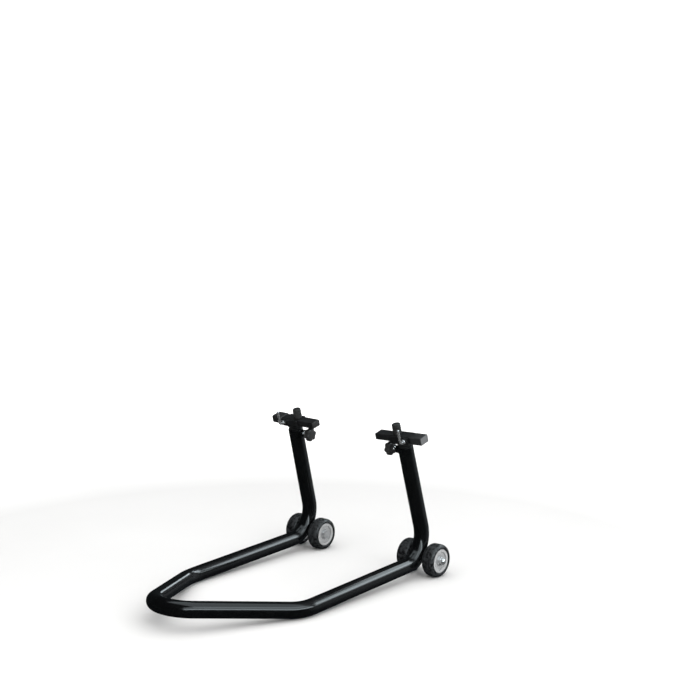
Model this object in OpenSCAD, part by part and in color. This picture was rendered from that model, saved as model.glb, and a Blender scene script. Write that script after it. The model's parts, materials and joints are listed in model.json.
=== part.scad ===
// Front paddock stand: a bent tube frame on four small wheels, with two adjustable lifting heads.
// X is across the stand, -Y is towards the handle and Z is up. The floor is z = 0.

/* [Frame tube] */
// Outer diameter of the frame tube
tube_od = 35; // [32:0.5:38]
// Wall of the frame tube
tube_wall = 2; // [1.5:0.1:2.5]
// Distance between the centres of the two side rails
rail_spacing = 350; // [330:5:400]
// Length of a side rail, from the foot corner to the handle bend
rail_length = 420; // [380:5:480]
// Fall of a side rail from the foot to the handle bend, degrees
rail_slope = 2.4; // [1.5:0.1:3.5]
// Distance along Y from the handle bend to the handle's nose corner
nose_reach = 286; // [260:2:340]
// Rise of the handle towards its nose, degrees
nose_rise = 6.5; // [4:0.5:12]
// Bend radius at the foot
foot_bend_r = 66; // [60:1:70]
// Bend radius between a side rail and the handle
side_bend_r = 95; // [80:5:110]
// Bend radius of the handle's nose
nose_bend_r = 66; // [55:1:75]

/* [Uprights] */
// Length of an upright, from the foot corner to its open top
upright_length = 280; // [250:1:300]
// Lean of an upright towards the handle, degrees
upright_lean = 15; // [12:0.5:18]
// Lean of an upright towards the other one, degrees
upright_tilt = 1.5; // [0:0.5:4]

/* [Wheels] */
// Wheel diameter
wheel_d = 75; // [72:1:80]
// Wheel width
wheel_w = 32; // [30:1:34]
// Distance from the rail's centre to a wheel's middle
wheel_offset = 36.5; // [36.5:0.5:38]
// Radius of the tyre's shoulders
shoulder_r = 9; // [6:0.5:10]
// Hub diameter
hub_d = 54; // [50:1:56]
// Axle diameter
axle_d = 12; // [10:1:12]
// Outer diameter of the bush in the hub
bush_d = 16; // [15.5:0.5:17]

/* [Lifting heads] */
// Depth of the arm's section
arm_depth = 25; // [24:1:30]
// Height of the arm's section
arm_height = 15; // [14:0.5:17]
// Length of the arm that points inward, from the upright's centre line
arm_inward = 69; // [62:1:80]
// Length of the arm that points outward, from the upright's centre line
arm_outward = 56; // [50:1:56]
// Wall of the arm's tube
arm_wall = 2; // [1.5:0.1:2.5]
// Length of the saddle that holds the arm
saddle_length = 46; // [42:1:46]
// Thickness of the saddle's floor and cheeks
saddle_wall = 4; // [3:0.5:4.5]
// Distance of the pad from the upright's centre line, inward
pad_inward = 15; // [12:1:30]
// Pad diameter
pad_d = 20; // [18:1:24]
// Pad height
pad_height = 24; // [22:1:30]
// How far the stem reaches down into the upright
stem_length = 110; // [95:5:130]

/* [Clamps] */
// Diameter of the two clamp screws
screw_d = 10; // [8:1:10]
// Diameter of the black knob
knob_d = 32; // [28:1:36]
// Number of lobes on the knob
knob_lobes = 6; // [5:1:8]
// Length of the cranked handle
crank_length = 31; // [26:1:34]

/* [Hidden] */
$fn = 64;
// A bend is this much thinner on each face than the straights it runs into, and laps into them
bend_thinning = 0.05;
bend_lap = 1;
// Gap between pieces that are pressed together, and the gap of a loose sliding fit
press_gap = 0.02;
slide_gap = 0.3;
// Radial clearance of a running fit
running_gap = 0.05;
// How far a cut starts outside the piece it is cut from
cut_over = 1;
tube_r = tube_od / 2;
bore_r = tube_r - tube_wall;
wheel_r = wheel_d / 2;
axle_r = axle_d / 2;

function unit(v) = v / norm(v);
function turn(d1, d2) = acos(max(-1, min(1, unit(d1) * unit(d2))));
function lowest_arc(d1, d2, r) =
    let (n = unit(cross(d1, d2)), b = unit(unit(d2) - unit(d1)))
    r / cos(turn(d1, d2) / 2) * b[2] - r * sqrt(1 - n[2] * n[2]);

// Directions of the tube: up the right rail to the handle, along the handle, and up the upright
rail_dir = [0, -cos(rail_slope), -sin(rail_slope)];
nose_dir = unit([-rail_spacing / 2, -nose_reach, norm([rail_spacing / 2, nose_reach]) * tan(nose_rise)]);
upright_dir = [
    -cos(upright_lean) * sin(upright_tilt),
    -sin(upright_lean),
    cos(upright_lean) * cos(upright_tilt)
];

// Corner heights: the handle bends just touch the floor
side_z = tube_r - lowest_arc(rail_dir, nose_dir, side_bend_r);
foot_z = side_z + rail_length * tan(rail_slope);
nose_z = side_z + norm([rail_spacing / 2, nose_reach]) * tan(nose_rise);

// The axle sleeve lies against the outside of the foot bend, with the wheels on the floor
sleeve_r = 10;
sleeve_length = 36;
weld_overlap = 1.5;
foot_bisector = unit(upright_dir + rail_dir);
foot_centre = foot_bisector * foot_bend_r / cos(turn(-rail_dir, upright_dir) / 2);
sleeve_reach = foot_bend_r + tube_r + sleeve_r - weld_overlap;
axle_back = foot_centre[1] + sqrt(pow(sleeve_reach, 2) - pow(wheel_r - foot_z - foot_centre[2], 2));

// The origin is on the floor under the middle of the stand
nose_bisector_y = cos(atan((nose_z - side_z) / nose_reach));
nose_half_turn = turn(nose_dir, [nose_dir[0], -nose_dir[1], -nose_dir[2]]) / 2;
nose_cut = nose_bend_r / cos(nose_half_turn) - nose_bend_r;
front_y = -rail_length - nose_reach + nose_cut * nose_bisector_y - tube_r;
rear_y = axle_back + wheel_r;
foot_y = -(front_y + rear_y) / 2;
axle_y = foot_y + axle_back;
rail_x = rail_spacing / 2;

// Corners of the tube's centre line, from the right upright's top round to the left one's
right_corners = [
    [rail_x, foot_y, foot_z] + upright_dir * upright_length,
    [rail_x, foot_y, foot_z],
    [rail_x, foot_y - rail_length, side_z],
];
nose_corner = [0, foot_y - rail_length - nose_reach, nose_z];
corners = concat(
    right_corners,
    [nose_corner],
    [for (i = [2:-1:0]) [-right_corners[i][0], right_corners[i][1], right_corners[i][2]]]
);
bend_radii = [0, foot_bend_r, side_bend_r, nose_bend_r, side_bend_r, foot_bend_r, 0];
last_corner = len(corners) - 1;
function leg(i) = unit(corners[i + 1] - corners[i]);
function corner_turn(i) = i == 0 || i == last_corner ? 0 : turn(leg(i - 1), leg(i));
function tangent_length(i) = bend_radii[i] * tan(corner_turn(i) / 2);

// Wheel and axle positions across the stand, from the rail's centre
washer_t = 1.5;
washer_d = 24;
side_play = 0.3;
bush_in = sleeve_length / 2 + washer_t + side_play;
bush_length = 26;
bush_out = bush_in + bush_length;
washer_out = bush_out + side_play;
nut_start = washer_out + washer_t + press_gap;
nut_flats = 18;
nut_t = 6;
hub_rim_w = 28;
hub_dish = 5;
hub_rim_t = 6;
boss_d = 25;
boss_inset = 0.5;
ring_w = 1.5;
ring_h = 1.2;
ring_inset = 3;
dome_r = nut_flats * 0.42;
dome_base = 1;
bolt_head_t = nut_t + 1.5;

// Lifting head, measured along the upright from the foot corner
saddle_rise = 9.5;
arm_rise = 0.2;
cheek_drop = 0.5;
saddle_z = upright_length + saddle_rise;
arm_z = saddle_z + saddle_wall + arm_rise;
arm_top = arm_z + arm_height;
cheek_y = arm_depth / 2 + slide_gap;
stem_r = bore_r - slide_gap;
stem_wall = 3;
stem_floor = 7;
corner_r = 2;
cap_wall = 1.5;
cap_length = 30;
cap_corner_r = 3;
cap_start = saddle_length / 2 + 6;
plug_head = 3;
plug_reach = 14;
plug_corner_r = 0.9;
post_r = 5;
post_height = 14;
pad_rise = 0.4;
pad_edge_r = 2;
pad_groove_r = 2;
pad_groove_inset = 0.5;
clamp_z = upright_length - 10;
height_nut_flats = 17;
height_nut_t = 9;
height_nut_sink = 1;
knob_t = 14;
knob_start = 38;
knob_neck_r = screw_d / 2 + 3.5;
knob_neck_t = 4;
knob_web = 3;
screw_tip_gap = 0.2;
clamp_x = 16;
clamp_boss_t = 3;
clamp_boss_r = 6.5;
clamp_screw_r = screw_d / 2 - 1;
clamp_y = cheek_y + saddle_wall + clamp_boss_t;
clamp_axis_z = arm_z + arm_height / 2;
crank_hub_r = 5.5;
crank_hub_start = 1;
crank_hub_t = 4;
crank_y = clamp_y + 5;
crank_neck = 2;
crank_rod_r = 3;
crank_bend_r = 6;

SIDES = ["right", "left"];
PLACES = ["outer", "inner"];

// ---- Placing ----

// Children made for the right side, on the named side
module on_side(side) {
    mirror([side == "left" ? 1 : 0, 0, 0]) children();
}

// Children in the upright's own frame: origin at the foot corner, Z up the upright, X outward
module on_upright(side) {
    on_side(side) translate([rail_x, foot_y, foot_z]) rotate([upright_lean, -upright_tilt, 0]) children();
}

// Children about the axle: origin at the rail's centre, X outward
module on_axle(side) {
    on_side(side) translate([rail_x, axle_y, wheel_r]) children();
}

// Children about the axle with X away from the rail, for an outer or an inner wheel
module on_wheel(side, place) {
    on_axle(side) mirror([place == "inner" ? 1 : 0, 0, 0]) children();
}

// Children with their origin at a point and their axes along three unit vectors
module in_frame(origin, ex, ey, ez) {
    multmatrix([
        [ex[0], ey[0], ez[0], origin[0]],
        [ex[1], ey[1], ez[1], origin[1]],
        [ex[2], ey[2], ez[2], origin[2]]
    ]) children();
}

// ---- Shared shapes ----

// Children made along Z, laid outward from a place on X
module along_x(start) {
    translate([start, 0, 0]) rotate([0, 90, 0]) children();
}

// Children made along Z, laid towards the handle from a place on Y
module along_front(start) {
    translate([0, start, 0]) rotate([90, 0, 0]) children();
}

module ring(outer_r, inner_r, length) {
    difference() {
        cylinder(r = outer_r, h = length);
        translate([0, 0, -cut_over]) cylinder(r = inner_r, h = length + 2 * cut_over);
    }
}

module rounded_rect(w, h, r) {
    square([w - 2 * r, h], center = true);
    square([w, h - 2 * r], center = true);
    for (x = [-1, 1]) for (y = [-1, 1]) translate([x * (w / 2 - r), y * (h / 2 - r)]) circle(r = r);
}

// A hexagon across flats with its corners turned down
module hexagon(flats, length) {
    intersection() {
        cylinder(r = flats / sqrt(3), h = length, $fn = 6);
        cylinder(r = flats * 0.55, h = length);
    }
}

// ---- Frame ----

module tube_straight(i) {
    from = corners[i] + leg(i) * tangent_length(i);
    to = corners[i + 1] - leg(i) * tangent_length(i + 1);
    across = unit(cross(leg(i), [1, 0, 0]));
    in_frame(from, across, cross(leg(i), across), leg(i)) ring(tube_r, bore_r, norm(to - from));
}

module tube_bend(i) {
    toward = unit(leg(i) - leg(i - 1));
    centre = corners[i] + toward * bend_radii[i] / cos(corner_turn(i) / 2);
    start = unit(corners[i] - leg(i - 1) * tangent_length(i) - centre);
    lap = bend_lap / bend_radii[i] * 180 / PI;
    in_frame(centre, start, leg(i - 1), cross(start, leg(i - 1))) rotate([0, 0, -lap])
        rotate_extrude(angle = corner_turn(i) + 2 * lap) translate([bend_radii[i], 0]) difference() {
            circle(r = tube_r - bend_thinning);
            circle(r = bore_r + bend_thinning);
        }
}

module frame_tube() {
    color("#15171a") difference() {
        union() {
            for (i = [0:last_corner - 1]) tube_straight(i);
            for (i = [1:last_corner - 1]) tube_bend(i);
        }
        for (side = SIDES) on_upright(side) translate([0, 0, clamp_z]) along_x(-tube_od)
            cylinder(r = screw_d / 2 + slide_gap, h = tube_od);
    }
}

module axle_sleeve(side) {
    color("#15171a") on_axle(side) along_x(-sleeve_length / 2)
        ring(sleeve_r, axle_r + slide_gap, sleeve_length);
}

// Nut whose far face is cut to sit on the upright's outside
module clamp_nut(side) {
    color("#15171a") on_upright(side) translate([0, 0, clamp_z]) difference() {
        along_x(height_nut_sink - tube_r - height_nut_t) hexagon(height_nut_flats, height_nut_t);
        along_x(-tube_od) cylinder(r = screw_d / 2 + slide_gap, h = tube_od);
        translate([0, 0, -height_nut_flats]) cylinder(r = tube_r + press_gap, h = 2 * height_nut_flats);
    }
}

// ---- Axles and wheels ----

module axle_bolt(side) {
    color("#c8ccd0") on_axle(side) {
        along_x(-nut_start) cylinder(r = axle_r, h = nut_start + washer_out + washer_t + nut_t);
        along_x(-nut_start - bolt_head_t) hexagon(nut_flats, bolt_head_t);
    }
}

module axle_dome_nut(side) {
    color("#d8dce0") on_axle(side) along_x(nut_start) difference() {
        union() {
            hexagon(nut_flats, nut_t);
            cylinder(r = dome_r, h = nut_t + dome_base);
            translate([0, 0, nut_t + dome_base]) half_ball(dome_r);
        }
        translate([0, 0, -cut_over]) cylinder(r = axle_r + press_gap, h = nut_t + 2.5 * cut_over);
    }
}

module half_ball(r) {
    intersection() {
        sphere(r = r);
        cylinder(r = 2 * r, h = 2 * r);
    }
}

module axle_washers(side) {
    color("#c8ccd0") on_axle(side) for (place = PLACES) mirror([place == "inner" ? 1 : 0, 0, 0])
        for (start = [sleeve_length / 2 + press_gap, washer_out])
            along_x(start) ring(washer_d / 2, axle_r + press_gap, washer_t - press_gap);
}

module tyre(side, place) {
    color("#17181a") on_wheel(side, place) along_x(wheel_offset) rotate_extrude() difference() {
        union() {
            translate([0, shoulder_r - wheel_w / 2]) square([wheel_r, wheel_w - 2 * shoulder_r]);
            translate([0, -wheel_w / 2]) square([wheel_r - shoulder_r, wheel_w]);
            for (y = [-1, 1]) translate([wheel_r - shoulder_r, y * (wheel_w / 2 - shoulder_r)])
                circle(r = shoulder_r);
        }
        translate([-cut_over, -wheel_w]) square([hub_d / 2 + press_gap + cut_over, 2 * wheel_w]);
    }
}

// Hub turned from its section: rim, web, boss, and two raised rings on each face of the web
module hub(side, place) {
    web_w = hub_rim_w - 2 * hub_dish;
    boss_from = bush_in - wheel_offset + boss_inset;
    boss_w = bush_length - 2 * boss_inset;
    bore_r = bush_d / 2;
    color("#b9bcbe") on_wheel(side, place) along_x(wheel_offset) rotate_extrude() difference() {
        union() {
            translate([hub_d / 2 - hub_rim_t, -hub_rim_w / 2]) square([hub_rim_t, hub_rim_w]);
            translate([bore_r, -web_w / 2]) square([hub_d / 2 - bore_r, web_w]);
            translate([bore_r, boss_from]) square([boss_d / 2 - bore_r, boss_w]);
            for (r = [boss_d / 2 + ring_inset, hub_d / 2 - hub_rim_t - ring_inset])
                translate([r - ring_w / 2, -web_w / 2 - ring_h]) square([ring_w, web_w + 2 * ring_h]);
        }
        translate([-cut_over, -wheel_w]) square([bore_r + press_gap + cut_over, 2 * wheel_w]);
    }
}

module bush(side, place) {
    color("#a98f5a") on_wheel(side, place) along_x(bush_in)
        ring(bush_d / 2, axle_r + running_gap, bush_length);
}

// ---- Lifting heads ----

module head_stem(side) {
    color("#191b1e") on_upright(side) translate([0, 0, saddle_z - stem_length]) difference() {
        cylinder(r = stem_r, h = stem_length);
        translate([0, 0, -cut_over])
            cylinder(r = stem_r - stem_wall, h = stem_length - stem_floor);
    }
}

// Channel open at the top, with the clamp screw's boss on its front cheek
module head_saddle(side) {
    outer_y = cheek_y + saddle_wall;
    cheek_top = arm_top - saddle_z - cheek_drop;
    color("#191b1e") on_upright(side) translate([0, 0, saddle_z + press_gap]) difference() {
        union() {
            translate([-saddle_length / 2, -outer_y, 0]) cube([saddle_length, 2 * outer_y, cheek_top]);
            translate([clamp_x, 0, clamp_axis_z - saddle_z]) along_front(-cheek_y - saddle_wall / 2)
                cylinder(r = clamp_boss_r, h = clamp_y - cheek_y - saddle_wall / 2);
        }
        translate([-saddle_length, -cheek_y, saddle_wall]) cube([2 * saddle_length, 2 * cheek_y, arm_top]);
        translate([clamp_x, 0, clamp_axis_z - saddle_z]) along_front(cut_over - cheek_y)
            cylinder(r = clamp_screw_r + running_gap, h = clamp_y - cheek_y + 2 * cut_over);
    }
}

module lift_arm(side) {
    length = arm_inward + arm_outward;
    color("#191b1e") on_upright(side) translate([-arm_inward, 0, arm_z + arm_height / 2]) along_x(0)
        rotate([0, 0, 90]) linear_extrude(length) difference() {
            rounded_rect(arm_depth, arm_height, corner_r);
            rounded_rect(arm_depth - 2 * arm_wall, arm_height - 2 * arm_wall, corner_r / 2);
        }
}

module arm_end_cap(side) {
    color("#3a3d40") on_upright(side) translate([cap_start, 0, arm_z + arm_height / 2]) along_x(0)
        rotate([0, 0, 90]) difference() {
            linear_extrude(cap_length)
                rounded_rect(arm_depth + 2 * cap_wall, arm_height + 2 * cap_wall, cap_corner_r);
            translate([0, 0, -cut_over]) linear_extrude(arm_outward - cap_start + cut_over + press_gap)
                rounded_rect(arm_depth + 2 * press_gap, arm_height + 2 * press_gap, corner_r);
        }
}

module arm_end_plug(side) {
    plug_w = arm_depth - 2 * arm_wall - 2 * press_gap;
    plug_h = arm_height - 2 * arm_wall - 2 * press_gap;
    color("#26282a") on_upright(side) translate([-arm_inward, 0, arm_z + arm_height / 2]) along_x(0)
        rotate([0, 0, 90]) {
            translate([0, 0, -plug_head]) linear_extrude(plug_head - press_gap)
                rounded_rect(arm_depth, arm_height, corner_r);
            translate([0, 0, -plug_head / 2]) linear_extrude(plug_reach)
                rounded_rect(plug_w, plug_h, plug_corner_r);
        }
}

module pad_post(side) {
    color("#c8ccd0") on_upright(side) translate([-pad_inward, 0, arm_top + press_gap])
        cylinder(r = post_r, h = post_height);
}

// Rubber pad with a rounded top edge and a groove round its middle
module fork_pad(side) {
    pad_r = pad_d / 2;
    color("#141516") on_upright(side) translate([-pad_inward, 0, arm_top + pad_rise]) difference() {
        rotate_extrude() difference() {
            union() {
                square([pad_r - pad_edge_r, pad_height]);
                square([pad_r, pad_height - pad_edge_r]);
                translate([pad_r - pad_edge_r, pad_height - pad_edge_r]) circle(r = pad_edge_r);
            }
            translate([pad_r + pad_groove_inset, pad_height * 0.35]) circle(r = pad_groove_r);
            translate([-2 * pad_d, -pad_d]) square([2 * pad_d, 4 * pad_d]);
        }
        translate([0, 0, -cut_over]) cylinder(r = post_r + press_gap, h = post_height + 1.2 * cut_over);
    }
}

// ---- Clamps ----

// Screw with a handle bent up at its outer end
module arm_clamp(side) {
    screw_from = -cheek_y + slide_gap - screw_tip_gap / 2;
    bend_y = -crank_y - crank_neck;
    handle_y = bend_y - crank_bend_r;
    color("#c8ccd0") on_upright(side) translate([clamp_x, 0, clamp_axis_z]) {
        along_front(screw_from) cylinder(r = clamp_screw_r, h = screw_from + crank_y + crank_hub_start);
        along_front(-clamp_y - crank_hub_start) cylinder(r = crank_hub_r, h = crank_hub_t);
        along_front(-crank_y) cylinder(r = crank_rod_r, h = crank_neck);
        translate([0, bend_y, crank_bend_r]) rotate([0, 90, 180]) rotate_extrude(angle = 90)
            translate([crank_bend_r, 0]) circle(r = crank_rod_r);
        translate([0, handle_y, crank_bend_r]) cylinder(r = crank_rod_r, h = crank_length - crank_bend_r);
        translate([0, handle_y, crank_length]) sphere(r = crank_rod_r);
    }
}

module height_screw(side) {
    screw_from = knob_web - knob_start - knob_t;
    color("#c8ccd0") on_upright(side) translate([0, 0, clamp_z]) along_x(screw_from)
        cylinder(r = screw_d / 2, h = -screw_from - stem_r - screw_tip_gap);
}

module height_knob(side) {
    lobe_r = knob_d * 0.14;
    color("#101112") on_upright(side) translate([0, 0, clamp_z]) along_x(-knob_start - knob_t) difference() {
        union() {
            cylinder(r = knob_d * 0.375, h = knob_t);
            for (i = [0:knob_lobes - 1]) rotate([0, 0, i * 360 / knob_lobes])
                translate([knob_d / 2 - lobe_r, 0, 0]) cylinder(r = lobe_r, h = knob_t);
            cylinder(r = knob_neck_r, h = knob_t + knob_neck_t);
        }
        translate([0, 0, knob_web - press_gap])
            cylinder(r = screw_d / 2 + press_gap, h = knob_t + knob_neck_t);
    }
}

frame_tube();
for (side = SIDES) {
    axle_sleeve(side);
    clamp_nut(side);
    axle_bolt(side);
    axle_dome_nut(side);
    axle_washers(side);
    head_stem(side);
    head_saddle(side);
    lift_arm(side);
    arm_end_cap(side);
    arm_end_plug(side);
    pad_post(side);
    fork_pad(side);
    arm_clamp(side);
    height_screw(side);
    height_knob(side);
    for (place = PLACES) {
        tyre(side, place);
        hub(side, place);
        bush(side, place);
    }
}
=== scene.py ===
"""Studio scene for the front paddock stand: detailed pieces, materials, floor, lights and camera."""

import json
import math
import random

import bmesh
import bpy
from mathutils import Matrix, Vector


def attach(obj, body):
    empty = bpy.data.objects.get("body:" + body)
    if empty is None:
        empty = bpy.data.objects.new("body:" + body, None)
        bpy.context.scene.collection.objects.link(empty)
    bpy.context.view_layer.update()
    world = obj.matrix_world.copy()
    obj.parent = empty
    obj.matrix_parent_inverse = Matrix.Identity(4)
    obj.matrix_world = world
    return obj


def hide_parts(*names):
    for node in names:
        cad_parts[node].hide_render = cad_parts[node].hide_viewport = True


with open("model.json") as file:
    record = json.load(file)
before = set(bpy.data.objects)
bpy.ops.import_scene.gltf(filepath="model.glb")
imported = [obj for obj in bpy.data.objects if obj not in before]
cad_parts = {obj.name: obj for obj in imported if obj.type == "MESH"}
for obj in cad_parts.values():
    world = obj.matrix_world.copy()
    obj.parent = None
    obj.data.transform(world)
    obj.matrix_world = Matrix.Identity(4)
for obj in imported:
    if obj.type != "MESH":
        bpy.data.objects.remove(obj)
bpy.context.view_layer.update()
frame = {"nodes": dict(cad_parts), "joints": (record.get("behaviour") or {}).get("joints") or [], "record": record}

MM = 0.001
SIDES = {"right": 1, "left": -1}
PLACES = {"outer": 1, "inner": -1}

# ---- Dimensions in millimetres, the same as in the CAD model ----
TUBE_R = 17.5
SHELL_R = TUBE_R - 0.05  # the detailed tube's outside, a little inside the CAD tube
BORE_R = 15.5
RAIL_LENGTH = 420
RAIL_SLOPE = math.radians(2.4)
NOSE_REACH = 286
NOSE_RISE = math.radians(6.5)
FOOT_BEND_R = 66
SIDE_BEND_R = 95
NOSE_BEND_R = 66
UPRIGHT_LENGTH = 280
WHEEL_R = 37.5
TYRE_R = WHEEL_R - 0.03  # the detailed tyre's crown, a little inside the CAD tyre
WHEEL_HALF = 16
SHOULDER_R = 9
HUB_R = 27
HUB_HALF = 14
HUB_DISH = 5
BOSS_R = 12.5
BUSH_R = 8
BOSS_FROM = -16.2
BOSS_TO = 9.3
AXLE_R = 6
WHEEL_OFFSET = 36.5
SLEEVE_R = 10
SLEEVE_HALF = 18
NUT_START = 47.62
NUT_FLATS = 18
NUT_T = 6
STEM_R = 15.2
SADDLE_Z = 289.5
SADDLE_HALF = 23
SADDLE_WALL = 4
CHEEK_Y = 12.8
ARM_Z = 293.7
ARM_DEPTH = 25
ARM_HEIGHT = 15
ARM_TOP = ARM_Z + ARM_HEIGHT
ARM_INWARD = 69
ARM_OUTWARD = 56
CAP_START = 29
CAP_LENGTH = 30
CAP_WALL = 1.5
PAD_INWARD = 15
PAD_R = 10
PAD_Z = ARM_TOP + 0.4
PAD_HEIGHT = 24
CLAMP_X = 16
CLAMP_Y = 19.8
CLAMP_AXIS_Z = ARM_Z + ARM_HEIGHT / 2
CLAMP_BOSS_R = 6.5
CRANK_Y = 24.8
CRANK_NECK = 2
CRANK_ROD_R = 3
CRANK_BEND_R = 6
CRANK_LENGTH = 31
CLAMP_Z = 270
HEIGHT_NUT_FLATS = 17
HEIGHT_NUT_OUT = 8
HEIGHT_NUT_IN = 3
SCREW_R = 5
KNOB_START = 38
KNOB_T = 14
KNOB_R = 16
KNOB_LOBES = 6

JOINTS = {joint["name"]: joint for joint in frame["joints"]}


def joint_point(name):
    return Vector(JOINTS[name]["pos_m"])


def joint_axis(name):
    return Vector(JOINTS[name]["axis"]).normalized()


# ---- Local frames: matrices from local millimetres to the shared frame's metres ----


def axes_matrix(origin, x, y, z):
    columns = Matrix((x * MM, y * MM, z * MM)).transposed()
    return Matrix.Translation(origin) @ columns.to_4x4()


def upright_matrix(side):
    """Origin at the foot corner, X outward, Y back, Z up the upright."""
    out = joint_axis(f"arm_{side}_width")
    up = joint_axis(f"head_{side}_height")
    back = joint_axis(f"arm_lock_{side}_turn")
    clamp = joint_point(f"arm_lock_{side}_turn")
    foot = clamp - (out * CLAMP_X - back * CLAMP_Y + up * CLAMP_AXIS_Z) * MM
    return axes_matrix(foot, out, back, up)


def wheel_matrix(side, place):
    """Origin at the wheel's middle, X away from the rail."""
    away = SIDES[side] * PLACES[place]
    centre = joint_point(f"wheel_{side}_{place}_spin")
    return axes_matrix(centre, Vector((away, 0, 0)), Vector((0, 1, 0)), Vector((0, 0, 1)))


SHARED = Matrix.Scale(MM, 4)

# ---- Materials ----

SCRATCH_STRETCH = (60.0, 900.0, 700.0)  # cells per metre along X, Y and Z
SCRATCH_STOPS = [(0.68, 0.0), (0.74, 1.0)]
SCRATCH_GAIN = 2.6  # a scratch is paler than the surface: its colour times this, plus the lift
SCRATCH_LIFT = 0.02
MIX_UNDER, MIX_OVER, MIX_RESULT = 6, 7, 2  # the mix node's colour sockets


def set_inputs(shader, **values):
    for name, value in values.items():
        shader.inputs[name.replace("_", " ")].default_value = value


def linked(nodes, links, kind, **inputs):
    """A node with some of its inputs set, or linked where the value is a socket."""
    made = nodes.new(kind)
    for name, value in inputs.items():
        socket = made.inputs[name.replace("_", " ")]
        if isinstance(value, bpy.types.NodeSocket):
            links.new(value, socket)
        else:
            socket.default_value = value
    return made


def ramp(nodes, links, source, stops):
    """A colour ramp over a factor; each stop is (position, (r, g, b) or a grey value)."""
    made = nodes.new("ShaderNodeValToRGB")
    links.new(source, made.inputs["Fac"])
    while len(made.color_ramp.elements) < len(stops):
        made.color_ramp.elements.new(0.5)
    for element, (position, value) in zip(made.color_ramp.elements, stops):
        element.position = position
        colour = value if isinstance(value, tuple) else (value,) * 3
        element.color = (*colour, 1)
    return made.outputs["Color"]


def computed(nodes, links, operation, value, other=0.0):
    """A maths node's result for a linked value and a plain one."""
    made = nodes.new("ShaderNodeMath")
    made.operation = operation
    links.new(value, made.inputs[0])
    made.inputs[1].default_value = other
    return made.outputs[0]


def mixed(nodes, links, share, under, over):
    """The colour under, a socket, covered by share with the plain colour over."""
    made = nodes.new("ShaderNodeMix")
    made.data_type = "RGBA"
    links.new(share, made.inputs["Factor"])
    links.new(under, made.inputs[MIX_UNDER])
    made.inputs[MIX_OVER].default_value = (*over, 1)
    return made.outputs[MIX_RESULT]


def material(
    name, colours, roughness, grain, scratches=0.0, spread=(38.0, 0.3, 0.72), **shader_values
):
    """A procedural surface. colours and roughness are (low, high) pairs that a broad noise mixes;
    grain is (scale per metre, bump height in metres); scratches is the share of fine scratches;
    spread is the broad noise's (scale per metre, low end, high end)."""
    made = bpy.data.materials.new(name)
    made.use_nodes = True
    nodes, links = made.node_tree.nodes, made.node_tree.links
    shader = nodes["Principled BSDF"]
    place = nodes.new("ShaderNodeTexCoord").outputs["Object"]

    def noise(where, scale, **settings):
        made = linked(nodes, links, "ShaderNodeTexNoise", Vector=where, Scale=scale, **settings)
        return made.outputs["Fac"]

    broad_scale, low, high = spread
    broad = noise(place, broad_scale, Detail=6.0, Roughness=0.62)
    colour = ramp(nodes, links, broad, [(low, colours[0]), (high, colours[1])])
    if scratches:
        stretch = linked(nodes, links, "ShaderNodeMapping", Vector=place, Scale=SCRATCH_STRETCH)
        lines = noise(stretch.outputs["Vector"], 1.0, Detail=2.0)
        marks = ramp(nodes, links, lines, SCRATCH_STOPS)
        share = computed(nodes, links, "MULTIPLY", marks, scratches)
        worn = [min(1.0, c * SCRATCH_GAIN + SCRATCH_LIFT) for c in colours[1]]
        colour = mixed(nodes, links, share, colour, worn)
    links.new(colour, shader.inputs["Base Color"])
    rough = ramp(nodes, links, broad, [(low, roughness[0]), (high, roughness[1])])
    links.new(rough, shader.inputs["Roughness"])
    grain_scale, grain_height = grain
    fine = noise(place, grain_scale, Detail=3.0, Roughness=0.55)
    bump = linked(nodes, links, "ShaderNodeBump", Height=fine, Strength=1.0, Distance=grain_height)
    links.new(bump.outputs["Normal"], shader.inputs["Normal"])
    set_inputs(shader, **shader_values)
    return made


def grey(value, tint=0.0):
    """A grey that leans slightly to blue with tint."""
    return (value * (1 - tint), value, value * (1 + tint))


MATERIALS = {
    "black_paint": material(
        "black_paint", (grey(0.0022, 0.08), grey(0.0036, 0.1)), (0.12, 0.2), (420.0, 0.00003), 0.12,
        Coat_Weight=0.35, Coat_Roughness=0.06, Specular_IOR_Level=0.55,
    ),
    "satin_black": material(
        "satin_black", (grey(0.006, 0.05), grey(0.011, 0.05)), (0.34, 0.48), (900.0, 0.00003), 0.2,
    ),
    "zinc": material(
        "zinc", (grey(0.48, 0.02), grey(0.66, 0.01)), (0.26, 0.42), (1500.0, 0.00001), 0.25,
        Metallic=0.6,
    ),
    "bright_zinc": material(
        "bright_zinc", (grey(0.70, 0.01), grey(0.85, 0.01)), (0.14, 0.26), (1200.0, 0.000006), 0.1,
        Metallic=0.88,
    ),
    "bronze": material(
        "bronze", ((0.36, 0.24, 0.11), (0.48, 0.33, 0.16)), (0.35, 0.5), (2200.0, 0.00001), Metallic=1.0,
    ),
    "grey_plastic": material(
        "grey_plastic", (grey(0.40, 0.015), grey(0.50, 0.015)), (0.38, 0.5), (1600.0, 0.00002), 0.1,
    ),
    "grey_cap": material(
        "grey_cap", (grey(0.012, 0.04), grey(0.022, 0.04)), (0.42, 0.55), (1400.0, 0.00003), 0.1,
    ),
    "black_plastic": material(
        "black_plastic", (grey(0.018), grey(0.030)), (0.32, 0.46), (1500.0, 0.00003), 0.12,
    ),
    "rubber": material(
        "rubber", (grey(0.012), grey(0.022)), (0.6, 0.8), (1100.0, 0.00006), 0.1,
    ),
    "tyre": material(
        "tyre", (grey(0.007, 0.08), grey(0.044, 0.08)), (0.26, 0.58), (900.0, 0.00006), 0.6,
        spread=(150.0, 0.42, 0.68),
    ),
}


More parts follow.
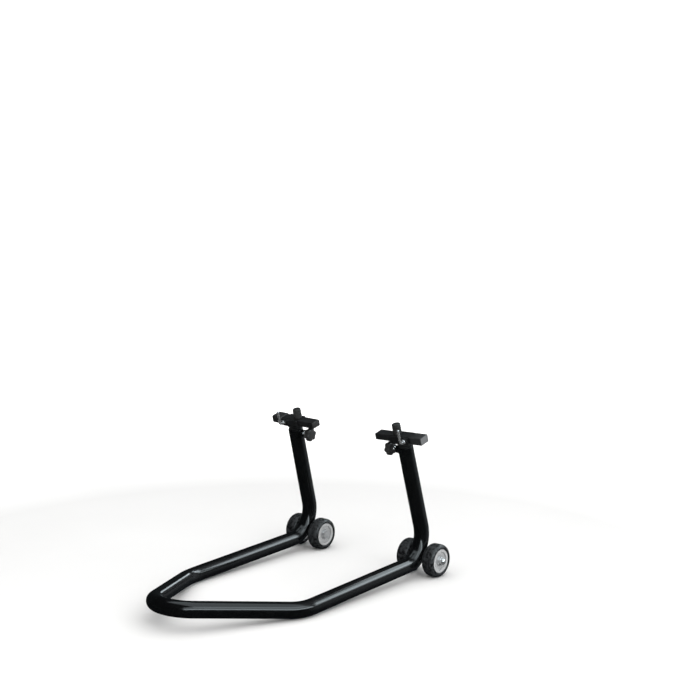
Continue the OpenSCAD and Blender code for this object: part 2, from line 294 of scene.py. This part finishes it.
def painted_end_highlight(made, colour):
    """Paints the faces that look along X a paler colour: a painted highlight for the light that falls on the cap's
    end.
    """
    nodes, links = made.node_tree.nodes, made.node_tree.links
    base = nodes["Principled BSDF"].inputs["Base Color"]
    normal = nodes.new("ShaderNodeNewGeometry").outputs["Normal"]
    split = linked(nodes, links, "ShaderNodeSeparateXYZ", Vector=normal)
    along_x = computed(nodes, links, "ABSOLUTE", split.outputs["X"])
    share = ramp(nodes, links, along_x, [(0.8, 0.0), (0.95, 1.0)])
    links.new(mixed(nodes, links, share, base.links[0].from_socket, colour), base)


# The cap's end faces get a painted highlight: a paler grey that stands for the side light falling on them.
painted_end_highlight(MATERIALS["grey_cap"], grey(0.13, 0.03))

# ---- Mesh building ----

MERGE_DISTANCE = 2e-6


def finished(name, shape, matrix, slot, body, *nodes, bevel=0.0, smooth=38):
    """Makes a piece from local (vertices, faces), in place, riding on its body. nodes are the CAD nodes
    that it replaces; bevel is in millimetres, and edges sharper than smooth degrees stay sharp."""
    vertices, faces = shape
    mesh = bpy.data.meshes.new(name)
    mesh.from_pydata([matrix @ Vector(v) for v in vertices], [], faces)
    shell = bmesh.new()
    shell.from_mesh(mesh)
    bmesh.ops.remove_doubles(shell, verts=shell.verts, dist=MERGE_DISTANCE)
    bmesh.ops.recalc_face_normals(shell, faces=shell.faces)
    shell.to_mesh(mesh)
    shell.free()
    mesh.shade_smooth()
    mesh.set_sharp_from_angle(angle=math.radians(smooth))
    mesh.materials.append(MATERIALS[slot])
    piece = bpy.data.objects.new(name, mesh)
    bpy.context.scene.collection.objects.link(piece)
    if bevel:
        rounding = piece.modifiers.new("rounding", "BEVEL")
        rounding.width = bevel * MM
        rounding.segments = 3
        rounding.limit_method = "ANGLE"
        rounding.angle_limit = math.radians(smooth)
        rounding.harden_normals = True
    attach(piece, body)
    if nodes:
        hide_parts(*nodes)


def joined(*shapes):
    """Several (vertices, faces) shapes as one."""
    vertices, faces = [], []
    for more_vertices, more_faces in shapes:
        start = len(vertices)
        vertices += [tuple(v) for v in more_vertices]
        faces += [[i + start for i in face] for face in more_faces]
    return vertices, faces


def moved(shape, offset):
    return [tuple(Vector(v) + Vector(offset)) for v in shape[0]], shape[1]


def skin(rings, loop=False, capped=True):
    """Faces over a list of rings of equal length. loop joins the last ring to the first, and capped
    closes the ends of rings that aren't a loop."""
    vertices = [v for ring in rings for v in ring]
    size = len(rings[0])
    faces = []
    spans = len(rings) if loop else len(rings) - 1
    for i in range(spans):
        j = (i + 1) % len(rings)
        for k in range(size):
            m = (k + 1) % size
            faces.append([i * size + k, i * size + m, j * size + m, j * size + k])
    if capped and not loop:
        faces.append(list(range(size)))
        faces.append([(len(rings) - 1) * size + k for k in range(size)])
    return vertices, faces


def turned(profile, along="x", segments=96, radius_at=None, loop=False, capped=True):
    """A lathe shape. profile is a list of (place along the axis, radius), and radius_at may change a
    radius with the place and the angle. A radius of nought closes an end."""
    rings = []
    for place, radius in profile:
        ring = []
        for k in range(segments):
            angle = 2 * math.pi * k / segments
            r = radius_at(place, radius, angle) if radius_at else radius
            u, v = r * math.cos(angle), r * math.sin(angle)
            ring.append({"x": (place, u, v), "y": (u, place, v), "z": (u, v, place)}[along])
        rings.append(ring)
    return skin(rings, loop=loop, capped=capped)


def arc(cx, cy, radius, start, end, steps):
    """Points of an arc, angles in degrees, as (cx + r cos, cy + r sin)."""
    angles = [math.radians(start + (end - start) * i / steps) for i in range(steps + 1)]
    return [(cx + radius * math.cos(a), cy + radius * math.sin(a)) for a in angles]


def swept(points, radius_at, loop=False, segments=32):
    """A round rod along points. radius_at gives the radius for a point's index and an angle."""
    count = len(points)
    points = [Vector(p) for p in points]
    tangents = []
    for i in range(count):
        before = points[i - 1] if loop or i else points[i]
        after = points[(i + 1) % count] if loop or i < count - 1 else points[i]
        tangents.append((after - before).normalized())
    side = tangents[0].orthogonal().normalized()
    rings = []
    for i, (point, tangent) in enumerate(zip(points, tangents)):
        side = (side - tangent * side.dot(tangent)).normalized()
        other = tangent.cross(side)
        ring = []
        for k in range(segments):
            angle = 2 * math.pi * k / segments
            r = radius_at(i, angle)
            ring.append(point + side * r * math.cos(angle) + other * r * math.sin(angle))
        rings.append(ring)
    return skin(rings, loop=loop)


def bead(points, radius, seed):
    """A weld bead along a closed curve, with the stacked ripples of a weld pool."""
    ripple = 1.6
    valley, swell = 0.86, 0.2
    dice = random.Random(seed)
    total = sum((Vector(points[i]) - Vector(points[i - 1])).length for i in range(len(points)))
    step = total / len(points)
    unevenness, stretches = 0.08, 12
    drift = [dice.uniform(-unevenness, unevenness) for _ in range(stretches)]

    def radius_at(i, angle):
        phase = (i * step / ripple) % 1.0
        wander = drift[i * len(drift) // len(points)]
        return radius * (valley + swell * math.sqrt(1 - (2 * phase - 1) ** 2 * 0.9) + wander * 0.5)

    return swept(points, radius_at, loop=True, segments=14)


def closed_curve(point_at, count=220):
    """Points of a closed curve that point_at gives for an angle."""
    return [point_at(2 * math.pi * i / count) for i in range(count)]


def rounded_outline(width, height, radius, steps=6):
    """Points round a rectangle with rounded corners, about its centre."""
    x, y = width / 2 - radius, height / 2 - radius
    corners = [(x, y, 0), (-x, y, 90), (-x, -y, 180), (x, -y, 270)]
    return [p for cx, cy, start in corners for p in arc(cx, cy, radius, start, start + 90, steps)]


def bar(outline, stations):
    """A bar along X. stations are (x, inset): each ring is the outline drawn in by inset."""
    width = max(y for y, _ in outline)
    height = max(z for _, z in outline)
    rings = []
    for x, inset in stations:
        rings.append([(x, y * (1 - inset / width), z * (1 - inset / height)) for y, z in outline])
    return skin(rings)


def quarter(steps=4):
    """The angles of a quarter turn."""
    return [math.pi / 2 * i / steps for i in range(steps + 1)]


def round_end(end, radius, sign=1):
    """Stations for bar() or places for turned(), from a straight side into an end that is rounded by
    radius. sign says which way the end looks."""
    turn = [(sign * radius * math.sin(a), radius * math.cos(a)) for a in quarter()]
    return [(end - sign * radius + along, radius - across) for along, across in turn]


def round_ends(start, end, radius):
    """Stations from one rounded end to the other."""
    return round_end(start, radius, -1)[::-1] + round_end(end, radius)


def disc(start, end, radius, edge, along="x", segments=64, radius_at=None):
    """A round slab with rounded edges."""
    profile = [(place, radius - inset) for place, inset in round_ends(start, end, edge)]
    profile = [(profile[0][0], 0.0)] + profile + [(profile[-1][0], 0.0)]
    return turned(profile, along, segments, radius_at)


def threaded(start, end, radius, pitch=1.5, along="x"):
    """A screw with a real helical thread."""
    depth = 0.8
    steps = int((end - start) / pitch * 8)
    places = [start + (end - start) * i / steps for i in range(steps + 1)]

    def radius_at(place, r, angle):
        phase = (place / pitch - angle / (2 * math.pi)) % 1.0
        return r - depth * abs(2 * phase - 1) if r else 0.0

    profile = [(start, 0.0)] + [(p, radius) for p in places] + [(end, 0.0)]
    return turned(profile, along, 48, radius_at)


def hexagon(start, end, flats, both=True):
    """A hexagonal nut or bolt head along X, with turned chamfers at both ends or at its end only."""
    corner = flats / math.sqrt(3)
    slope = 0.55
    face_share = 0.97

    def radius_at(place, r, angle):
        if not r:
            return 0.0
        flat_angle = (angle + math.pi / 6) % (math.pi / 3) - math.pi / 6
        hex_r = flats / 2 / math.cos(flat_angle)
        depth = end - place if not both else min(place - start, end - place)
        return min(hex_r, flats / 2 * face_share + max(depth, 0) / slope)

    steps = 5
    chamfer = (corner - flats / 2) * slope * 1.3
    near = [start + chamfer * i / steps for i in range(steps + 1)]
    far = [end - chamfer * (steps - i) / steps for i in range(steps + 1)]
    profile = [(start, 0.0)] + [(p, corner) for p in near + far] + [(end, 0.0)]
    return turned(profile, radius_at=radius_at)


# ---- Frame tube ----


def tube_corners():
    """Corners of the tube's centre line in the shared frame, in millimetres, with their bend radii."""
    foot = upright_matrix("right").translation / MM
    top = foot + joint_axis("head_right_height") * UPRIGHT_LENGTH
    side = foot + Vector((0, -RAIL_LENGTH, -RAIL_LENGTH * math.tan(RAIL_SLOPE)))
    nose = Vector((0, side.y - NOSE_REACH, side.z + math.hypot(side.x, NOSE_REACH) * math.tan(NOSE_RISE)))
    right = [(top, 0), (foot, FOOT_BEND_R), (side, SIDE_BEND_R)]
    left = [(Vector((-p.x, p.y, p.z)), r) for p, r in reversed(right)]
    return right + [(nose, NOSE_BEND_R)] + left


def rounded_path(corners):
    """Points of a path whose straight legs are joined by true arcs."""
    degrees_per_step = 2.5
    points = [corners[0][0]]
    for i in range(1, len(corners) - 1):
        here, radius = corners[i]
        into = (here - corners[i - 1][0]).normalized()
        out = (corners[i + 1][0] - here).normalized()
        turn = into.angle(out)
        start = here - into * radius * math.tan(turn / 2)
        centre = here + (out - into).normalized() * radius / math.cos(turn / 2)
        axis = into.cross(out)
        steps = max(4, round(math.degrees(turn) / degrees_per_step))
        for k in range(steps + 1):
            spin = Matrix.Rotation(turn * k / steps, 3, axis)
            points.append(centre + spin @ (start - centre))
    points.append(corners[-1][0])
    return points


def lipped_tube(points):
    """A hollow tube along points: its outside, a rounded lip at each end, and the bore just inside."""
    depth = 30
    lip = 0.8
    segments = 64
    ahead = (points[1] - points[0]).normalized()
    behind = (points[-2] - points[-1]).normalized()

    def end_stations(at, inward):
        bore, outside = [], []
        for a in quarter():
            place = at + inward * (lip - lip * math.sin(a))
            bore.append((place, BORE_R + lip - lip * math.cos(a)))
            outside.append((place, SHELL_R - lip + lip * math.cos(a)))
        return [(at + inward * depth, BORE_R)] + bore + outside[::-1]

    near = end_stations(points[0], ahead)
    far = end_stations(points[-1], behind)[::-1]
    stations = near + [(p, SHELL_R) for p in points[1:-1]] + far
    side = ahead.orthogonal().normalized()
    rings = []
    for i, (point, radius) in enumerate(stations):
        if i < len(near):
            tangent = ahead
        elif i >= len(stations) - len(far):
            tangent = -behind
        else:
            tangent = (stations[i + 1][0] - stations[i - 1][0]).normalized()
        side = (side - tangent * side.dot(tangent)).normalized()
        other = tangent.cross(side)
        angles = [2 * math.pi * k / segments for k in range(segments)]
        rings.append([point + side * radius * math.cos(a) + other * radius * math.sin(a) for a in angles])
    return skin(rings)


def make_frame_tube():
    tube = lipped_tube(rounded_path(tube_corners()))
    finished("frame_tube_bent", tube, SHARED, "black_paint", "frame", "frame_tube", smooth=50)


def make_frame_fittings(side):
    """The nut that is welded on the upright's inner side, and the bead round it."""
    upright = upright_matrix(side)
    nut = hexagon(-TUBE_R - HEIGHT_NUT_OUT, -TUBE_R + HEIGHT_NUT_IN, HEIGHT_NUT_FLATS)
    nut = moved(nut, (0, 0, CLAMP_Z))
    finished(f"clamp_nut_welded_{side}", nut, upright, "black_paint", "frame", f"clamp_nut_{side}")
    half_width, half_height, sink = 9.4, 9.0, 0.2

    def round_nut(angle):
        y, z = half_width * math.cos(angle), half_height * math.sin(angle)
        return (-math.sqrt(TUBE_R**2 - y * y) - sink, y, CLAMP_Z + z)

    weld = bead(closed_curve(round_nut, 160), 1.3, side + "nut")
    finished(f"clamp_nut_weld_{side}", weld, upright, "black_paint", "frame", smooth=80)


def make_axle_parts(side):
    """The sleeve that carries the axle, the axle bolt, its domed nut and the sleeve's weld."""
    axle = wheel_matrix(side, "outer") @ Matrix.Translation((-WHEEL_OFFSET, 0, 0))
    sleeve_bore = AXLE_R + 0.3
    profile = [(x, SLEEVE_R - inset) for x, inset in round_ends(-SLEEVE_HALF, SLEEVE_HALF, 0.8)]
    profile = [(-SLEEVE_HALF, sleeve_bore)] + profile + [(SLEEVE_HALF, sleeve_bore)]
    sleeve = turned(profile, loop=True)
    finished(f"sleeve_{side}", sleeve, axle, "black_paint", "frame", f"axle_sleeve_{side}")
    nut_end = NUT_START + NUT_T
    head_t = NUT_T + 1.5
    rod = disc(-NUT_START, nut_end, AXLE_R, 0.6)
    head = hexagon(-NUT_START - head_t, -NUT_START, NUT_FLATS, both=False)
    finished(f"axle_{side}", joined(rod, head), axle, "zinc", "frame", f"axle_bolt_{side}")
    body = hexagon(NUT_START, nut_end, NUT_FLATS)
    dome_r = NUT_FLATS * 0.42
    dome = [(nut_end - 1, 0.0), (nut_end - 1, dome_r)]
    dome += [(nut_end + 1 + x, r) for x, r in arc(0, 0, dome_r, 90, 0, 12)]
    nut = joined(body, turned(dome, segments=64))
    finished(f"dome_nut_{side}", nut, axle, "bright_zinc", "frame", f"axle_dome_nut_{side}")
    make_sleeve_weld(side, axle)


def make_sleeve_weld(side, axle):
    """The bead round the small oval where the sleeve sits against the foot bend."""
    half_width, half_height, overlap = 11.0, 7.6, 1.5
    across = SIDES[side]
    foot = upright_matrix(side).translation / MM
    up = joint_axis(f"head_{side}_height")
    ahead = Vector((0, -math.cos(RAIL_SLOPE), -math.sin(RAIL_SLOPE)))
    half_turn = (-ahead).angle(up) / 2
    centre = foot + (up + ahead).normalized() * FOOT_BEND_R / math.cos(half_turn)
    pin = axle.translation / MM
    outward = Vector((0, pin.y - centre.y, pin.z - centre.z)).normalized()
    along = Vector((1, 0, 0)).cross(outward)
    bend_outside = FOOT_BEND_R + TUBE_R
    touch = Vector((foot.x, centre.y, centre.z)) + outward * bend_outside

    def point_at(angle):
        x, t = half_width * math.cos(angle), half_height * math.sin(angle)
        tube_drop = -x * x / (2 * TUBE_R) - t * t / (2 * bend_outside)
        sleeve_drop = -overlap + t * t / (2 * SLEEVE_R)
        return touch + Vector((across * x, 0, 0)) + along * t + outward * (tube_drop + sleeve_drop) / 2

    weld = bead(closed_curve(point_at, 180), 2.0, side + "sleeve")
    finished(f"sleeve_weld_{side}", weld, SHARED, "black_paint", "frame", smooth=80)


# ---- Wheels ----


def tyre_shape():
    """The tyre's section: flat sides drawn in at the bead, round shoulders and a crown with two grooves."""
    bead_r = HUB_R + 0.02
    groove = 0.55
    shoulder = arc(WHEEL_HALF - SHOULDER_R, TYRE_R - SHOULDER_R, SHOULDER_R, 0, 90, 14)
    wall = [(HUB_HALF - 0.6, bead_r), (HUB_HALF + 0.3, HUB_R + 0.6), (HUB_HALF + 0.5, HUB_R + 1.4)]
    wall += [(WHEEL_HALF - 0.25, HUB_R + 1.9)]
    crown = [(x, TYRE_R - depth) for x, depth in [(5.4, 0), (5.1, groove), (4.5, groove), (4.2, 0)]]
    half = wall + shoulder + crown
    profile = half + [(-x, r) for x, r in reversed(half)]
    return turned(profile, segments=128, loop=True)


def hub_shape():
    """The hub's section, from its bore on the rail side out round the rim and back on the far side."""
    ring_centres = (BOSS_R + 3.2, HUB_R - 8.4)
    ring_foot, ring_top, ring_rise = 1.3, 0.9, 1.0
    rim, rim_edge, boss_edge, bore_edge = 5.2, 0.7, 0.8, 0.5
    web = HUB_HALF - HUB_DISH

    def face(sign, boss_end):
        points = [(HUB_HALF - rim_edge, HUB_R), (HUB_HALF, HUB_R - rim_edge), (HUB_HALF, HUB_R - rim)]
        points += [(HUB_HALF - rim_edge, HUB_R - rim - rim_edge), (web, HUB_R - rim - 1.1)]
        for middle in reversed(ring_centres):
            points += [(web, middle + ring_foot), (web + ring_rise, middle + ring_top)]
            points += [(web + ring_rise, middle - ring_top), (web, middle - ring_foot)]
        points += [(web, BOSS_R + 0.5), (boss_end - boss_edge, BOSS_R), (boss_end, BOSS_R - boss_edge)]
        points += [(boss_end, BUSH_R + 0.6), (boss_end - bore_edge, BUSH_R + 0.02)]
        return [(sign * x, r) for x, r in points]

    profile = face(1, BOSS_TO) + face(-1, -BOSS_FROM)[::-1]
    return turned(profile, segments=128, loop=True)


def make_wheel(side, place):
    matrix = wheel_matrix(side, place)
    body = f"wheel_{side}_{place}"
    end = f"{side}_{place}"
    finished(f"wheel_tyre_{end}", tyre_shape(), matrix, "tyre", body, f"tyre_{end}", smooth=50)
    finished(f"wheel_hub_{end}", hub_shape(), matrix, "grey_plastic", body, f"hub_{end}")


# ---- Lifting heads ----


def saddle_outline():
    """The bent plate's section in (y, z): a channel with round outer and inner corners."""
    outer_y, inner_y = CHEEK_Y + SADDLE_WALL, CHEEK_Y
    low, floor, top = SADDLE_Z + 0.02, SADDLE_Z + SADDLE_WALL, ARM_TOP - 0.5
    outer_r, inner_r, lip_r = 3.5, 0.6, 1
    lip_z = top - lip_r
    points = arc(-outer_y + outer_r, low + outer_r, outer_r, 180, 270, 6)
    points += arc(outer_y - outer_r, low + outer_r, outer_r, 270, 360, 6)
    points += arc(outer_y - lip_r, lip_z, lip_r, 0, 90, 4)
    points += arc(inner_y + lip_r, lip_z, lip_r, 90, 180, 4)
    points += arc(inner_y - inner_r, floor + inner_r, inner_r, 360, 270, 3)
    points += arc(-inner_y + inner_r, floor + inner_r, inner_r, 270, 180, 3)
    points += arc(-inner_y - lip_r, lip_z, lip_r, 0, 90, 4)
    points += arc(-outer_y + lip_r, lip_z, lip_r, 90, 180, 4)
    return points


def make_head(side):
    """The saddle with its clamp boss, and the weld that holds it on the stem."""
    upright = upright_matrix(side)
    body = f"head_{side}"
    channel = skin([[(x, y, z) for y, z in saddle_outline()] for x in (-SADDLE_HALF, SADDLE_HALF)])
    boss = disc(-CLAMP_Y, -CHEEK_Y - 1.5, CLAMP_BOSS_R, 0.8, along="y")
    saddle = joined(channel, moved(boss, (CLAMP_X, 0, CLAMP_AXIS_Z)))
    finished(f"saddle_{side}", saddle, upright, "satin_black", body, f"head_saddle_{side}", bevel=0.4)
    ring_r = STEM_R + 0.7
    ring = closed_curve(lambda a: (ring_r * math.cos(a), ring_r * math.sin(a), SADDLE_Z - 0.2))
    finished(f"stem_weld_{side}", bead(ring, 1.5, side + "stem"), upright, "satin_black", body, smooth=80)


def make_arm(side):
    """The lifting arm with the cap on its outer end, the plug in its inner end and the pad on top."""
    upright = upright_matrix(side)
    body = f"arm_{side}"
    middle = (0, 0, ARM_Z + ARM_HEIGHT / 2)
    section = rounded_outline(ARM_DEPTH, ARM_HEIGHT, 2)
    tube = moved(bar(section, [(-ARM_INWARD, 0), (ARM_OUTWARD, 0)]), middle)
    finished(f"arm_tube_{side}", tube, upright, "satin_black", body, f"lift_arm_{side}")
    cap_section = rounded_outline(ARM_DEPTH + 2 * CAP_WALL, ARM_HEIGHT + 2 * CAP_WALL, 3)
    chamfer = 0.5
    stations = [(CAP_START, chamfer), (CAP_START + chamfer, 0)] + round_end(CAP_START + CAP_LENGTH, 1.8)
    cap = moved(bar(cap_section, stations), middle)
    finished(f"end_cap_{side}", cap, upright, "grey_cap", body, f"arm_end_cap_{side}")
    plug = moved(bar(section, round_ends(-ARM_INWARD - 3, -ARM_INWARD - 0.02, 1.2)), middle)
    finished(f"end_plug_{side}", plug, upright, "black_plastic", body, f"arm_end_plug_{side}")
    make_pad(side, upright, body)


def make_pad(side, upright, body):
    """The rubber pad: ribbed sides, and rings cut into its flat top."""
    top = PAD_Z + PAD_HEIGHT
    ribs, rib_pitch, rib_depth = 4, 4.6, 0.6
    edge_r, ring_depth = 2, 0.8
    profile = [(PAD_Z, 0.0), (PAD_Z, PAD_R - 1.2), (PAD_Z + 0.8, PAD_R - 0.4)]
    for i in range(ribs):
        base = PAD_Z + 2 + i * rib_pitch
        profile += [(base, PAD_R - 0.4), (base + 0.5, PAD_R), (base + 2.6, PAD_R)]
        profile += [(base + 3.1, PAD_R - rib_depth), (base + 3.9, PAD_R - rib_depth)]
    profile += [(top - edge_r + z, PAD_R - edge_r - 0.2 + r) for r, z in arc(0, 0, edge_r, 0, 90, 6)]
    for radius in (6.4, 3.6):
        profile += [(top, radius + 0.7), (top - ring_depth, radius + 0.4)]
        profile += [(top - ring_depth, radius - 0.4), (top, radius - 0.7)]
    profile += [(top, 0.0)]
    pad = moved(turned(profile, "z"), (-PAD_INWARD, 0, 0))
    finished(f"rubber_pad_{side}", pad, upright, "rubber", body, f"fork_pad_{side}", f"pad_post_{side}")


def make_arm_clamp(side):
    """The clamp screw with its cranked handle."""
    upright = upright_matrix(side)
    bend_y = -CRANK_Y - CRANK_NECK
    tip = (0, bend_y - CRANK_BEND_R, CRANK_LENGTH)
    screw = threaded(-CRANK_Y, -CHEEK_Y - 1, SCREW_R - 1, 1.25, "y")
    collar = disc(-CLAMP_Y - 5, -CLAMP_Y - 1, 5.5, 0.8, along="y")
    rod = [(0, -CRANK_Y + 2, 0), (0, -CRANK_Y, 0)]
    rod += [(0, bend_y + y, CRANK_BEND_R + z) for y, z in arc(0, 0, CRANK_BEND_R, 270, 180, 12)]
    rod += [tip]
    handle = swept(rod, lambda i, a: CRANK_ROD_R)
    ball = moved(turned(arc(0, 0, CRANK_ROD_R, 180, 0, 12), "z", 32), tip)
    shape = moved(joined(screw, collar, handle, ball), (CLAMP_X, 0, CLAMP_AXIS_Z))
    finished(f"crank_screw_{side}", shape, upright, "bright_zinc", f"arm_lock_{side}", f"arm_clamp_{side}")


def make_height_lock(side):
    """The screw that locks the stem, and its lobed knob."""
    upright = upright_matrix(side)
    body = f"height_lock_{side}"
    screw = moved(threaded(-KNOB_START - 2, -STEM_R - 0.2, SCREW_R), (0, 0, CLAMP_Z))
    finished(f"lock_screw_{side}", screw, upright, "bright_zinc", body, f"height_screw_{side}")
    lobe_depth, lobe_width = 0.2, 0.7

    def lobed(place, r, angle):
        wave = 0.5 + 0.5 * math.cos(KNOB_LOBES * angle)
        return r * (1 - lobe_depth * (1 - wave**lobe_width)) if r else 0.0

    grip = disc(-KNOB_START - KNOB_T, -KNOB_START, KNOB_R, 3.0, segments=144, radius_at=lobed)
    neck = disc(-KNOB_START - 1, -KNOB_START + 4, 8.5, 1.0)
    knob = moved(joined(grip, neck), (0, 0, CLAMP_Z))
    finished(f"lobed_knob_{side}", knob, upright, "black_plastic", body, f"height_knob_{side}", smooth=50)


# ---- The stand ----

make_frame_tube()
for side in SIDES:
    make_frame_fittings(side)
    make_axle_parts(side)
    for place in PLACES:
        make_wheel(side, place)
    make_head(side)
    make_arm(side)
    make_arm_clamp(side)
    make_height_lock(side)

# The CAD nodes take the same materials, because those that no detailed piece replaces are shown.
for subpart in frame["record"]["subparts"]:
    node = frame["nodes"][subpart["node"]]
    node.data.materials.clear()
    node.data.materials.append(MATERIALS[subpart["material_slot"]])

# ---- Floor, lights and camera, in metres ----

STAGE_R = 9
GLOW_FROM = 1.0
GLOW_FULL = 2.4
REFLECTED_TINT = (0.84, 0.95, 1.0)
LAMP_TINT = (1.0, 0.995, 0.985)

# Panels that show only in reflections: name, place, target, size and radiance.
PANELS = [
    ("side_strip", (4.0, -1.3, 1.52), (0, -1.3, 1.52), (7.5, 0.75), 4.5),
    ("side_wall", (4.0, -1.3, 3.35), (0, -1.3, 3.35), (7.5, 2.9), 1.5),
    ("back_low", (4.2, 4.2, 1.9), (4.2, 0, 1.9), (2.6, 0.8), 2.2),
    ("back_strip", (1.8, 4.2, 2.65), (1.8, 0, 2.65), (5.4, 0.7), 6.0),
    ("back_wall", (2.9, 4.2, 3.6), (2.9, 0, 3.6), (3.2, 1.2), 3.5),
    ("back_corner", (0.6, 4.2, 3.85), (0.6, 0, 3.85), (1.4, 1.3), 3.2),
    ("back_window", (-1.75, 3.64, 0.82), (-0.1, -0.25, 0.04), (0.5, 0.5), 2.6),
    ("ceiling", (1.3, 0.25, 3.2), (1.3, 0.25, 0), (5.6, 2.5), 1.0),
]
# Lamps that light the scene without showing in reflections.
LAMPS = [
    ("overhead", (0.0, 0.1, 2.4), (0, 0.1, 0), (6.5, 6.5), 1.55),
    ("side_fill", (3.2, -0.6, 1.3), (0, 0, 0.1), (2.6, 1.8), 4.5),
    ("front_fill", (-0.6, -3.2, 1.4), (0, 0, 0.1), (2.6, 1.4), 1.2),
]


def stage_paper(name, shape):
    """A sheet of paper that glows away from the stand, so floor and backdrop run together. It is left
    out of the reflections, so the gloss paint stays black beside it."""
    mesh = bpy.data.meshes.new(name)
    mesh.from_pydata(shape[0], [], shape[1])
    paper = bpy.data.materials.new(name + "_paper")
    paper.use_nodes = True
    nodes, links = paper.node_tree.nodes, paper.node_tree.links
    shader = nodes["Principled BSDF"]
    place = nodes.new("ShaderNodeTexCoord").outputs["Object"]
    grain = linked(nodes, links, "ShaderNodeTexNoise", Vector=place, Scale=2.0, Detail=4.0)
    colour = ramp(nodes, links, grain.outputs["Fac"], [(0.3, 0.79), (0.7, 0.82)])
    distance = nodes.new("ShaderNodeVectorMath")
    distance.operation = "LENGTH"
    links.new(place, distance.inputs[0])
    glow = linked(
        nodes, links, "ShaderNodeMapRange",
        Value=distance.outputs["Value"], From_Min=GLOW_FROM, From_Max=GLOW_FULL,
    )
    links.new(colour, shader.inputs["Base Color"])
    links.new(glow.outputs["Result"], shader.inputs["Emission Strength"])
    set_inputs(shader, Roughness=0.85, Specular_IOR_Level=0.2, Emission_Color=(1, 1, 1, 1))
    mesh.materials.append(paper)
    plane = bpy.data.objects.new(name, mesh)
    plane.visible_glossy = False
    plane.visible_diffuse = name == "floor"
    bpy.context.scene.collection.objects.link(plane)


def make_light(name, place, target, size, radiance, reflected):
    """A panel that either shows in reflections only, or lights without showing in them."""
    light = bpy.data.lights.new(name, "AREA")
    light.shape = "RECTANGLE"
    light.size, light.size_y = size
    light.energy = radiance * math.pi * size[0] * size[1]
    light.color = REFLECTED_TINT if reflected else LAMP_TINT
    lamp = bpy.data.objects.new(name, light)
    lamp.location = place
    lamp.rotation_euler = (Vector(target) - Vector(place)).to_track_quat("-Z", "Y").to_euler()
    lamp.visible_camera = False
    lamp.visible_glossy = reflected
    lamp.visible_diffuse = not reflected
    bpy.context.scene.collection.objects.link(lamp)


def make_world():
    """A dark room that is less dark towards the back."""
    back = (0.43, 0.86, 0.28)
    stops = [(0.0, (0.008, 0.010, 0.011)), (0.6, (0.020, 0.024, 0.027)), (1.0, (0.27, 0.285, 0.30))]
    world = bpy.data.worlds.new("studio")
    world.use_nodes = True
    nodes, links = world.node_tree.nodes, world.node_tree.links
    place = nodes.new("ShaderNodeTexCoord").outputs["Generated"]
    toward = nodes.new("ShaderNodeVectorMath")
    toward.operation = "DOT_PRODUCT"
    links.new(place, toward.inputs[0])
    toward.inputs[1].default_value = back
    colour = ramp(nodes, links, toward.outputs["Value"], stops)
    links.new(colour, nodes["Background"].inputs["Color"])
    nodes["Background"].inputs["Strength"].default_value = 1.0
    bpy.context.scene.world = world


def make_camera():
    """Places the camera 41 degrees round from the handle's end, looking slightly down."""
    heading, fall, roll = math.radians(40.76), math.radians(7.34), math.radians(0.21)
    place = Vector((1.9117, -1.9635, 0.8839))
    level = math.cos(fall)
    look = Vector((-math.sin(heading) * level, math.cos(heading) * level, -math.sin(fall)))
    data = bpy.data.cameras.new("camera")
    data.sensor_width = 36.0
    data.lens = 65.92
    camera = bpy.data.objects.new("camera", data)
    camera.matrix_world = Matrix.Translation(place) @ (
        look.to_track_quat("-Z", "Y").to_matrix().to_4x4() @ Matrix.Rotation(-roll, 4, "Z")
    )
    bpy.context.scene.collection.objects.link(camera)
    bpy.context.scene.camera = camera


stage_paper("floor", turned([(0, 0), (0, STAGE_R)], "z", capped=False))
stage_paper("backdrop", turned([(0, STAGE_R), (STAGE_R, STAGE_R), (STAGE_R, 0)], "z", capped=False))
make_world()
for panel in PANELS:
    make_light(*panel, reflected=True)
for lamp in LAMPS:
    make_light(*lamp, reflected=False)
make_camera()
bpy.context.scene.view_settings.view_transform = "Standard"
